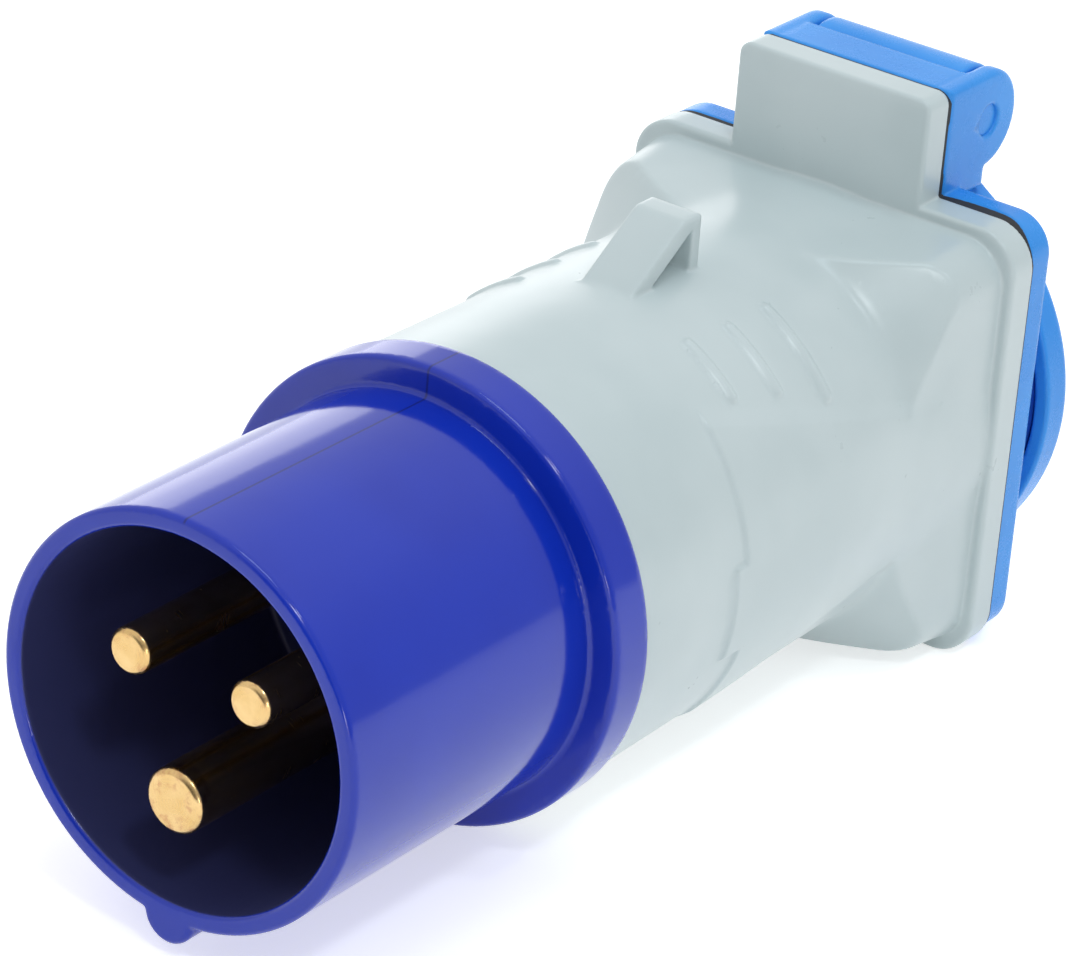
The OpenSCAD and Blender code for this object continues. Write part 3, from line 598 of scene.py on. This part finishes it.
def plugShape(s, p):
    radius = reach(p.x, p.z)
    inner = s["shroud"] - s["wall"]
    tube = edged(band(radius, inner, s["shroud"]), band(p.y, s["rim"], s["floor"]), s["rimRound"])
    key = reach(p.x, (p.z + s["shroud"] + s["keyHeight"] - s["keyHalf"]).capAt(0.0)) - s["keyHalf"]
    key = shared(shared(key, s["shroud"] - s["wall"] * 0.5 - radius), p.z - s["keyTop"])
    key = shared(edged(key, s["rim"] - p.y, s["rimRound"]), p.y - s["keyEnd"])
    body = shared(join(tube, key, s["keyFillet"]), s["rim"] - p.y)
    collar = edged(radius - s["collar"], band(p.y, 0.0, s["collarBack"]), s["rimRound"])
    body = join(body, shared(collar, inner - radius), s["collarFillet"])
    body = join(body, shared(radius - s["shroud"], band(p.y, 0.0, s["floor"])), s["floorFillet"])
    spigot = band(radius, s["spigot"] - s["spigotWall"], s["spigot"])
    body = join(body, shared(spigot, band(p.y, s["spigotFront"], s["spigotEnd"]), s["spigotEdge"]))
    for name in pinAngles:
        across, up = pinWay(name)
        bore = reach(p.x - s["pinCircle"] * across, p.z - s["pinCircle"] * up) - s[name + "Hole"]
        body = cut(body, shared(bore, s["holeFront"] - p.y), s["holeEdge"])
    return body


plug = fieldPiece("plug_moulding", plugSizes, plugShape,
                  (-26.4, -38.0, -26.4), (26.4, 14.4, 26.4), 0.34, finish["plug"], spare=0.002)
settle(plug, "base", "plug_plastic", "plug_shroud")


# brass pins with a chamfered tip, a flared root, a flange and a screw terminal
pinShared = {"root": -1.0, "flare": 0.4, "chamfer": 0.5, "tipSoft": 0.22, "flangeFront": 5.0, "flangeBack": 6.5,
             "shankEnd": 6.0, "flangeOut": 1.2, "flangeEdge": 0.25, "terminalEnd": 22.0, "terminalEdge": 0.3,
             "bore": 1.3, "boreFloor": 13.0, "boreEdge": 0.2, "screwAt": 18.0, "room": 0.6, "sideRoom": 1.8}
pinSizes = {
    "line": dict(pinShared, radius=2.5, tip=-35.5, terminal=3.6),
    "neutral": dict(pinShared, radius=2.5, tip=-35.5, terminal=3.6),
    "earth": dict(pinShared, radius=3.5, tip=-36.9, terminal=4.2),
}


def pinShape(s, p):
    u = p.x - s["centreX"]
    w = p.z - s["centreZ"]
    radius = reach(u, w)
    flared = s["radius"] + (p.y - s["root"]).floorAt(0.0).capAt(1.0) * s["flare"]
    shank = shared(radius - flared, band(p.y, s["tip"], s["shankEnd"]))
    chamfer = (radius - s["radius"] + s["chamfer"] + s["tip"] - p.y) * diagonal
    shank = shared(shank, chamfer, s["tipSoft"])
    flange = band(p.y, s["flangeFront"], s["flangeBack"])
    body = join(shank, edged(radius - s["terminal"] - s["flangeOut"], flange, s["flangeEdge"]))
    terminal = band(p.y, s["flangeFront"], s["terminalEnd"])
    body = join(body, edged(radius - s["terminal"], terminal, s["terminalEdge"]))
    body = cut(body, shared(radius - s["bore"], s["boreFloor"] - p.y), s["boreEdge"])
    outward = u * s["outX"] + w * s["outZ"]
    sideways = w * s["outX"] - u * s["outZ"]
    return cut(body, shared(reach(sideways, p.y - s["screwAt"]) - s["bore"], -outward), s["boreEdge"])


for name, size in pinSizes.items():
    outX, outZ = pinWay(name)
    cx, cz = pinCircle * outX, pinCircle * outZ
    half = size["terminal"] + size["sideRoom"]
    pin = fieldPiece(name + "_pin_turned", dict(size, centreX=cx, centreZ=cz, outX=outX, outZ=outZ), pinShape,
                     (cx - half, size["tip"] - size["room"], cz - half),
                     (cx + half, size["terminalEnd"] + size["room"], cz + half), 0.25, finish["brass"])
    settle(pin, "base", "brass", name + "_pin")


# the plate closes on the flange, and stands off a little at its two upper corners, less on the left
plateGap = {"gap": 1.25, "gapAt": 17.5, "gapHalf": 7.5, "gapLow": 21.0, "gapRise": 3.5, "gapLean": 0.05,
            "gapLeft": -0.6}


def cornerGap(s, p):
    across = (abs(p.x) - s["gapAt"]) / s["gapHalf"]
    upper = ((p.z - s["gapLow"]) / s["gapRise"]).floorAt(0.0).capAt(1.0)
    left = (p.x * s["gapLean"]).floorAt(s["gapLeft"]).capAt(0.0)
    return s["gap"] * (1.0 - across * across).floorAt(0.0) * upper * (1.0 + left)


# black seal between the flange and the plate; where it thickens into the corner gaps, its black also stands in for
# the shade in those gaps
sealSizes = {**plateGap, "front": 74.3, "back": 74.55, "half": 25.0, "tall": 25.5, "drop": 0.45, "corner": 4.9,
             "hingeHalf": 12.35, "hingeTop": 37.15, "hingeCorner": 1.5, "well": 21.8,
             "screwPlace": screwPlace, "screwHole": 1.95}


def sealShape(s, p):
    tall = roundRect(p.x, p.z - s["hingeTop"] * 0.5, s["hingeHalf"], s["hingeTop"] * 0.5, s["hingeCorner"])
    outline = join(roundRect(p.x, p.z + s["drop"], s["half"], s["tall"], s["corner"]), tall)
    hole = reach(abs(p.x) - s["screwPlace"], abs(p.z) - s["screwPlace"]) - s["screwHole"]
    ring = cut(cut(outline, reach(p.x, p.z) - s["well"]), hole)
    # the seal's back follows the corner gap, so black fills the gap where there is partly only shade
    return shared(ring, shared(s["front"] - p.y, p.y - s["back"] - cornerGap(s, p)))


seal = fieldPiece("flange_seal_ring", sealSizes, sealShape,
                  (-25.2, 74.0, -26.2), (25.2, 76.2, 37.8), (0.3, 0.05, 0.3), finish["seal"], spare=0.002)
settle(seal, "base", "seal_rubber", "flange_gasket")


# light-blue outlet: plate, well, recess, hinge bracket with its ears
outletSizes = {
    **plateGap, **hinge,
    "plateHalf": 24.6, "plateTall": 25.3, "drop": 0.25, "plateCorner": 4.4, "plateFront": 74.55, "plateBack": 78.6,
    "plateEdge": 0.35, "plateFrontEdge": 0.2, "plateFillet": 0.5,
    "well": 21.6, "wellFront": 61.5, "wellEdge": 0.6, "mouth": 82.0, "recess": 19.6, "recessFloor": 64.5,
    "recessSoft": 0.5,
    "ear": 5.7, "earIn": 10.05, "earOut": 12.45, "earEdge": 0.75, "earLap": 4.0, "earFillet": 0.3,
    "armTop": 83.7, "armLow": 23.55, "armLap": 2.0, "armFillet": 0.8,
    "barBack": 81.3, "barSink": 1.0, "barLap": 0.3, "barEdge": 0.3, "barFillet": 0.4, "barrelRoom": 5.95,
    "pinHole": 1.825, "pinHoleFrom": 8.0, "holePitch": 9.5, "hole": 2.6, "holeEdge": 0.35, "holeReach": 2.0,
    "clipPlace": 18.2, "clipHalf": 2.9, "clipSlot": 0.8, "centreHole": 1.95,
    "screwPlace": screwPlace, "screwHole": 2.15, "screwHead": 3.2, "screwSeat": 77.2,
}


def outletShape(s, p):
    side = abs(p.x)
    radius = reach(p.x, p.z)
    plate = roundRect(p.x, p.z + s["drop"], s["plateHalf"], s["plateTall"], s["plateCorner"])
    plate = edged(plate, p.y - s["plateBack"], s["plateEdge"])
    plate = edged(plate, s["plateFront"] + cornerGap(s, p) - p.y, s["plateFrontEdge"])
    well = edged(radius - s["well"], band(p.y, s["wellFront"], s["mouth"]), s["wellEdge"])
    body = join(plate, well, s["plateFillet"])
    # hinge bracket: a bar with room for the lid's barrel, and two ears
    ring = reach(p.y - s["hingeY"], p.z - s["hingeZ"])
    top = s["hingeZ"] + s["ear"]
    bar = edged(band(p.y, s["plateFront"], s["barBack"]), p.z - top, s["plateEdge"])
    bar = shared(bar, s["plateTall"] - s["drop"] - s["barSink"] - p.z)
    bar = cut(bar, ring - s["barrelRoom"], s["barEdge"])
    bar = cut(bar, shared(s["plateBack"] - p.y, p.z - s["hingeZ"]), s["barEdge"])
    body = join(body, shared(bar, side - s["earIn"] - s["barLap"]), s["barFillet"])
    upper = shared(band(p.y, s["plateFront"], s["hingeY"]), band(p.z, s["hingeZ"] - s["earLap"], top))
    arm = shared(band(p.y, s["plateFront"], s["armTop"]), band(p.z, s["armLow"], s["hingeZ"] + s["armLap"]))
    ear = join(join(ring - s["ear"], upper), arm, s["armFillet"])
    ear = edged(ear, band(side, s["earIn"], s["earOut"]), s["earEdge"])
    body = shared(join(body, ear, s["earFillet"]), p.z - top)
    body = cut(body, shared(ring - s["pinHole"], s["pinHoleFrom"] - side), s["earFillet"])
    # recess with its holes and clip slots
    body = cut(body, shared(radius - s["recess"], s["recessFloor"] - p.y, s["recessSoft"]), s["recessSoft"])
    through = join(reach(side - s["holePitch"], p.z) - s["hole"], radius - s["centreHole"])
    slots = shared(side - s["clipHalf"], abs(abs(p.z) - s["clipPlace"]) - s["clipSlot"])
    body = cut(body, shared(join(through, slots), p.y - s["recessFloor"] - s["holeReach"]), s["holeEdge"])
    corner = reach(side - s["screwPlace"], abs(p.z) - s["screwPlace"])
    sunk = join(corner - s["screwHole"], shared(corner - s["screwHead"], s["screwSeat"] - p.y))
    return cut(body, sunk, s["holeEdge"])


outlet = fieldPiece("outlet_moulding", outletSizes, outletShape,
                    (-25.6, 60.6, -26.4), (25.6, 89.8, 38.2), 0.32, finish["blue"], spare=0.004)
settle(outlet, "base", "outlet_plastic", "socket_body")


# light-blue lid: disc, neck, hinge barrel and finger lip
lidSizes = {
    **hinge,
    "disc": 25.1, "front": 81.6, "back": 86.2, "roof": 84.0, "inside": 23.3, "round": 1.2, "rimSoft": 0.5,
    "insideSoft": 0.4, "barrel": 5.6, "barrelEdge": 0.45, "barrelFillet": 0.8, "bore": 1.87, "boreEdge": 0.35,
    "neckHalf": 9.65, "neckFoot": 23.95, "neckLow": 16.0, "neckRound": 0.8, "neckFillet": 0.5,
    "wingSine": 0.5735, "wingCosine": 0.8192, "wingSoft": 0.4,
    "cornerOut": 4.0, "cornerDown": 2.8, "cornerSine": 0.7014, "cornerCosine": 0.7127,
    "lipHalf": 8.0, "lipTall": 1.6, "lipCorner": 1.2, "lipPlace": -23.1, "lipFront": 85.2, "lipBack": 88.0,
    "lipRound": 0.7, "lipFillet": 0.9, "coilRoom": 3.1, "coilSide": 4.6,
}


def lidShape(s, p):
    side = abs(p.x)
    radius = reach(p.x, p.z)
    disc = shared(edged(radius - s["disc"], p.y - s["back"], s["round"]), s["front"] - p.y, s["rimSoft"])
    neck = shared(side - s["neckHalf"], p.z - s["hingeZ"])
    wing = (side - s["neckHalf"]) * s["wingSine"] + (p.z - s["neckFoot"]) * s["wingCosine"]
    corner = (side - s["neckHalf"] - s["cornerOut"]) * s["cornerSine"]
    wing = shared(wing, corner + (p.z - s["neckFoot"] + s["cornerDown"]) * s["cornerCosine"])
    neck = shared(join(neck, wing, s["wingSoft"]), s["neckLow"] - p.z)
    neck = shared(edged(neck, p.y - s["back"], s["neckRound"]), s["roof"] - p.y, s["rimSoft"])
    ring = reach(p.y - s["hingeY"], p.z - s["hingeZ"])
    barrel = edged(ring - s["barrel"], side - s["neckHalf"], s["barrelEdge"])
    lip = roundRect(p.x, p.z - s["lipPlace"], s["lipHalf"], s["lipTall"], s["lipCorner"])
    lip = shared(edged(lip, p.y - s["lipBack"], s["lipRound"]), s["lipFront"] - p.y)
    body = join(join(disc, neck, s["neckFillet"]), barrel, s["barrelFillet"])
    body = cut(body, shared(radius - s["inside"], p.y - s["roof"]), s["insideSoft"])
    body = join(body, lip, s["lipFillet"])
    body = cut(body, ring - s["bore"], s["boreEdge"])
    pocket = band(p.z, s["hingeZ"] - s["coilRoom"], s["hingeZ"] + s["coilRoom"])
    pocket = shared(shared(side - s["coilSide"], pocket), p.y - s["hingeY"] - s["coilRoom"])
    return cut(body, pocket, s["insideSoft"])


lid = fieldPiece("lid_moulding", lidSizes, lidShape,
                 (-25.8, 76.8, -25.8), (25.8, 89.8, 38.2), 0.30, finish["blue"])
settle(lid, "cover", "outlet_plastic", "lid")


# cross-recess screws, set at the four corners of the plate and in the recess floor
screwSizes = {"radius": 1.75, "head": 3.0, "headTall": 1.9, "headEdge": 0.35, "dome": 7.0, "soft": 0.3,
              "thread": 0.16, "threadRate": 2.0 * math.pi / 0.8, "point": 0.9, "crossHalf": 1.7, "crossWide": 0.4,
              "crossDeep": 1.1, "crossEdge": 0.25, "seat": 77.2, "lap": 0.5, "tip": 64.0, "room": 0.6,
              "headRoom": 2.6, "pitch": 2 * screwPlace / 1000}
centreSizes = dict(screwSizes, seat=64.5, tip=52.5, pitch=0.0)


def screwShape(s, p):
    radius = reach(p.x, p.z)
    top = s["seat"] + s["headTall"]
    dome = reach(radius, p.y - top + s["dome"]) - s["dome"]
    head = shared(edged(radius - s["head"], band(p.y, s["seat"], top), s["headEdge"]), dome, s["soft"])
    thread = s["radius"] - s["thread"] + s["thread"] * (p.y * s["threadRate"]).cosine()
    shank = shared(radius - thread, band(p.y, s["tip"], s["seat"] + s["lap"]), s["soft"])
    shank = shared(shank, (radius - s["point"] + s["tip"] - p.y) * diagonal, s["soft"])
    arms = join(shared(abs(p.x) - s["crossHalf"], abs(p.z) - s["crossWide"]),
                shared(abs(p.z) - s["crossHalf"], abs(p.x) - s["crossWide"]))
    return cut(join(shank, head, s["soft"]), shared(arms, top - s["crossDeep"] - p.y), s["crossEdge"])


def screws(name, sizes, node):
    tree, given, sockets = shapeTree(name + "Shape", sizes)
    half = sizes["head"] + sizes["room"]
    made = fieldMesh(tree, screwShape(given, Spot(tree)), (-half, sizes["tip"] - sizes["room"], -half),
                     (half, sizes["seat"] + sizes["headRoom"], half), 0.2)
    if sizes["pitch"]:
        corners = tree.node("GeometryNodeMeshGrid", {}, {"Size X": given["pitch"], "Size Y": given["pitch"],
                                                         "Vertices X": 2, "Vertices Y": 2})
        upright = tree.node("GeometryNodeTransform", {}, {"Geometry": corners, "Rotation": (math.pi / 2, 0.0, 0.0)})
        made = tree.node("GeometryNodeInstanceOnPoints", {}, {"Points": upright, "Instance": made})
    settle(bakeTree(name, tree, sockets, sizes, made, finish["steel"]), "base", "steel", node)


screws("plate_screw_set", screwSizes, "plate_screws")
screws("recess_floor_screw", centreSizes, "centre_screw")


def pathTube(tree, points, x, y, z, radius, around):  # a round wire along a path given in millimetres
    line = tree.node("GeometryNodeCurvePrimitiveLine", {}, {"Start": (0.0, 0.0, 0.0), "End": (0.0, 1.0, 0.0)})
    line = tree.node("GeometryNodeResampleCurve", {}, {"Curve": line, "Count": points})
    spot = tree.node("ShaderNodeCombineXYZ", {}, {"X": x * 0.001, "Y": y * 0.001, "Z": z * 0.001})
    line = tree.node("GeometryNodeSetPosition", {}, {"Geometry": line, "Position": spot})
    profile = tree.node("GeometryNodeCurvePrimitiveCircle", {}, {"Resolution": around, "Radius": radius * 0.001})
    return tree.node("GeometryNodeCurveToMesh", {}, {"Curve": line, "Profile Curve": profile, "Fill Caps": True})


# leads: bare ends and an insulated run that eases from the pin to the contact
leadShared = {"wireStart": 14.5, "start": 22.3, "cable": 1.5, "wire": 0.9}
leadSizes = {
    "line": dict(leadShared, fromX=7.534, fromZ=4.35, toX=9.5, toZ=0.0, end=40.7, wireEnd=45.0),
    "neutral": dict(leadShared, fromX=-7.534, fromZ=4.35, toX=-9.5, toZ=0.0, end=40.7, wireEnd=45.0),
    "earth": dict(leadShared, fromX=0.0, fromZ=-8.7, toX=0.0, toZ=-13.3, end=41.7, wireEnd=46.0),
}
leadShades = {"line": "brown", "neutral": "blue", "earth": "green"}


def leadTube(tree, s, low, high, radius, points, finishName):
    y = low + (high - low) * tree.node("GeometryNodeSplineParameter").at("Factor")
    t = ((y - s["start"]) / (s["end"] - s["start"])).floorAt(0.0).capAt(1.0)
    ease = t * t * (3.0 - 2.0 * t)
    tube = pathTube(tree, points, s["fromX"] + (s["toX"] - s["fromX"]) * ease, y,
                    s["fromZ"] + (s["toZ"] - s["fromZ"]) * ease, radius, 24)
    return tree.node("GeometryNodeSetMaterial", {}, {"Geometry": tube, "Material": finish[finishName]})


for name, shade in leadShades.items():
    tree, s, sockets = shapeTree(name + "LeadShape", leadSizes[name])
    cable = leadTube(tree, s, s["start"], s["end"], s["cable"], 40, shade + "Wire")
    wire = leadTube(tree, s, s["wireStart"], s["wireEnd"], s["wire"], 60, "brass")
    both = tree.node("GeometryNodeJoinGeometry", {}, {"Geometry": [cable, wire]})
    lead = bakeTree(name + "_lead_run", tree, sockets, leadSizes[name], both)
    settle(lead, "base", shade + "_wire", name + "_lead")


# closing spring: a leg, a coil round the hinge pin and a second leg, on one path
springSizes = {**hinge, "wire": 0.4, "coil": 2.4, "half": 3.4, "turns": 4.25, "legIn": 5.3, "legOut": 3.0}


def spring(sizes):
    tree, s, sockets = shapeTree("closingSpringShape", sizes)
    full = s["turns"] * (2.0 * math.pi)
    length = s["legIn"] + full * s["coil"] + s["legOut"]
    run = tree.node("GeometryNodeSplineParameter").at("Factor") * length - s["legIn"]
    angle = (run / s["coil"]).floorAt(0.0).capAt(full)
    tube = pathTube(tree, 220, (angle / full * 2.0 - 1.0) * s["half"],
                    s["hingeY"] + s["coil"] * angle.sine() + run.capAt(0.0),
                    s["hingeZ"] + s["coil"] * angle.cosine() - (run - full * s["coil"]).floorAt(0.0), s["wire"], 12)
    piece = bakeTree("closing_spring", tree, sockets, sizes, tube, finish["steel"])
    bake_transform(piece)
    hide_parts("lid_spring")


spring(springSizes)

# pieces whose turned or flat shape stays as it is
keptNodes = {
    "pin_carrier": "dark", "pin_screws": "steel", "contact_base": "pale",
    "line_contact": "brass", "neutral_contact": "brass", "earth_clip": "steel", "contact_screws": "steel",
    "hinge_pin": "blue", "lid_seal": "lidSeal",
}
for node, name in keptNodes.items():
    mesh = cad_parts[node].data
    mesh.materials.clear()
    mesh.materials.append(finish[name])
print("kept nodes dressed")

# pale floor and plain soft light
stageSizes = {"floorRadius": 1.2, "floorSides": 96, "floorLevel": -0.0261, "floorTone": 0.90, "floorWander": 0.01,
              "floorCloud": (0.02, 2.0, 0.5), "floorRough": 0.9, "floorLift": 0.55, "hiddenLift": 0.3,
              "skyLight": 0.82, "frontShade": 0.82, "frontAhead": (0.55, 0.88), "frontSide": (-0.5, 0.0),
              "rightShade": 0.45, "rightSide": (0.1, 0.9)}
lampSizes = {
    "backLamp": {"place": (-0.60, 0.60, 0.07), "aim": (0.0, 0.02, 0.0), "size": 0.45, "power": 0.85,
                 "tint": (1.0, 1.0, 1.0)},
    "topLamp": {"place": (0.06, 0.06, 0.70), "aim": (0.0, 0.04, 0.0), "size": 0.26, "power": 0.7,
                "tint": (0.78, 0.92, 1.0)},
    "glintLamp": {"place": (0.364, 0.135, 0.588), "aim": (0.0, 0.04, 0.0), "size": 0.05, "power": 0.30,
                  "tint": (0.90, 0.97, 1.0)},
    "keyLamp": {"place": (0.34, -0.24, 0.56), "aim": (0.0, 0.04, 0.0), "size": 0.08, "power": 0.65,
                "tint": (0.90, 0.97, 1.0)},
    "fillLamp": {"place": (0.52, -0.38, 0.05), "aim": (0.0, 0.04, 0.0), "size": 0.08, "power": 0.25,
                 "tint": (1.0, 0.96, 0.92)},
}


def plainlySeen(tree):  # 1 for rays from the camera and for what shines or shows through, 0 for soft light
    path = tree.node("ShaderNodeLightPath")
    return (path.at("Is Camera Ray") + path.at("Is Glossy Ray") + path.at("Is Transmission Ray")).capAt(1.0)


def floorFinish(sizes):
    material, tree, place = newFinish("paleFloor")
    low, high = sizes["floorTone"] - sizes["floorWander"], sizes["floorTone"] + sizes["floorWander"]
    tone = tree.mixColour(noise(tree, place, sizes["floorCloud"]), colour([low] * 3), colour([high] * 3))
    lift = tree.mixColour(plainlySeen(tree), colour([sizes["hiddenLift"]] * 3), colour([1.0] * 3))
    closeFinish(tree, {"Base Color": tone, "Roughness": sizes["floorRough"], "Specular IOR Level": 0.0,
                       "Emission Color": lift, "Emission Strength": sizes["floorLift"]})
    return material


def makeFloor(sizes):
    mesh = bpy.data.meshes.new("floor")
    count, radius = sizes["floorSides"], sizes["floorRadius"]
    turns = [math.tau * i / count for i in range(count)]
    ring = [(radius * math.cos(a), radius * math.sin(a), sizes["floorLevel"]) for a in turns]
    mesh.from_pydata(ring, [], [list(range(count))])
    mesh.materials.append(floorFinish(sizes))
    floor = bpy.data.objects.new("floor", mesh)
    bpy.context.scene.collection.objects.link(floor)


def makeSky(sizes):
    world = bpy.data.worlds.new("studio")
    bpy.context.scene.world = world
    world.use_nodes = True
    world.node_tree.nodes.clear()
    tree = Tree(world.node_tree)
    x, y, z = tree.axes(tree.node("ShaderNodeTexCoord").at("Generated"))
    ahead = (-y).ramp(*sizes["frontAhead"]) * x.ramp(*sizes["frontSide"])  # the room is dark ahead of the plug
    right = x.ramp(*sizes["rightSide"])  # and a little dimmer to the right
    level = sizes["skyLight"] + (1.0 - sizes["skyLight"]) * plainlySeen(tree)
    level = level * (1.0 - sizes["frontShade"] * ahead) * (1.0 - sizes["rightShade"] * right)
    tree.node("ShaderNodeOutputWorld", {}, {
        "Surface": tree.node("ShaderNodeBackground", {}, {"Color": colour([1.0] * 3), "Strength": level})})


def softLamp(name, sizes):
    lamp = bpy.data.lights.new(name, "AREA")
    lamp.color = sizes["tint"]
    lamp.shape = "SQUARE"
    lamp.size = sizes["size"]
    lamp.energy = sizes["power"]
    holder = bpy.data.objects.new(name, lamp)
    holder.location = sizes["place"]
    holder.rotation_euler = (Vector(sizes["aim"]) - Vector(sizes["place"])).to_track_quat("-Z", "Y").to_euler()
    bpy.context.scene.collection.objects.link(holder)


makeFloor(stageSizes)
makeSky(stageSizes)
for name, sizes in lampSizes.items():
    softLamp(name, sizes)

# camera at the photograph's viewing angle
lens = {"focal": 166.667, "sensor": 36.0, "place": (0.26435, -0.36031, 0.23626),
        "right": (0.7990946, 0.5970372, 0.0706713), "up": (-0.3177457, 0.3196145, 0.8926837),
        "forward": (-0.5103778, 0.7357942, -0.4451082)}
cameraData = bpy.data.cameras.new("camera")
cameraData.lens = lens["focal"]
cameraData.sensor_width = lens["sensor"]
camera = bpy.data.objects.new("camera", cameraData)
turn = Matrix((lens["right"], lens["up"], [-v for v in lens["forward"]])).transposed().to_4x4()
camera.matrix_world = Matrix.Translation(lens["place"]) @ turn
bpy.context.scene.collection.objects.link(camera)
bpy.context.scene.camera = camera
bpy.context.scene.view_settings.view_transform = "Standard"
print("stage set")
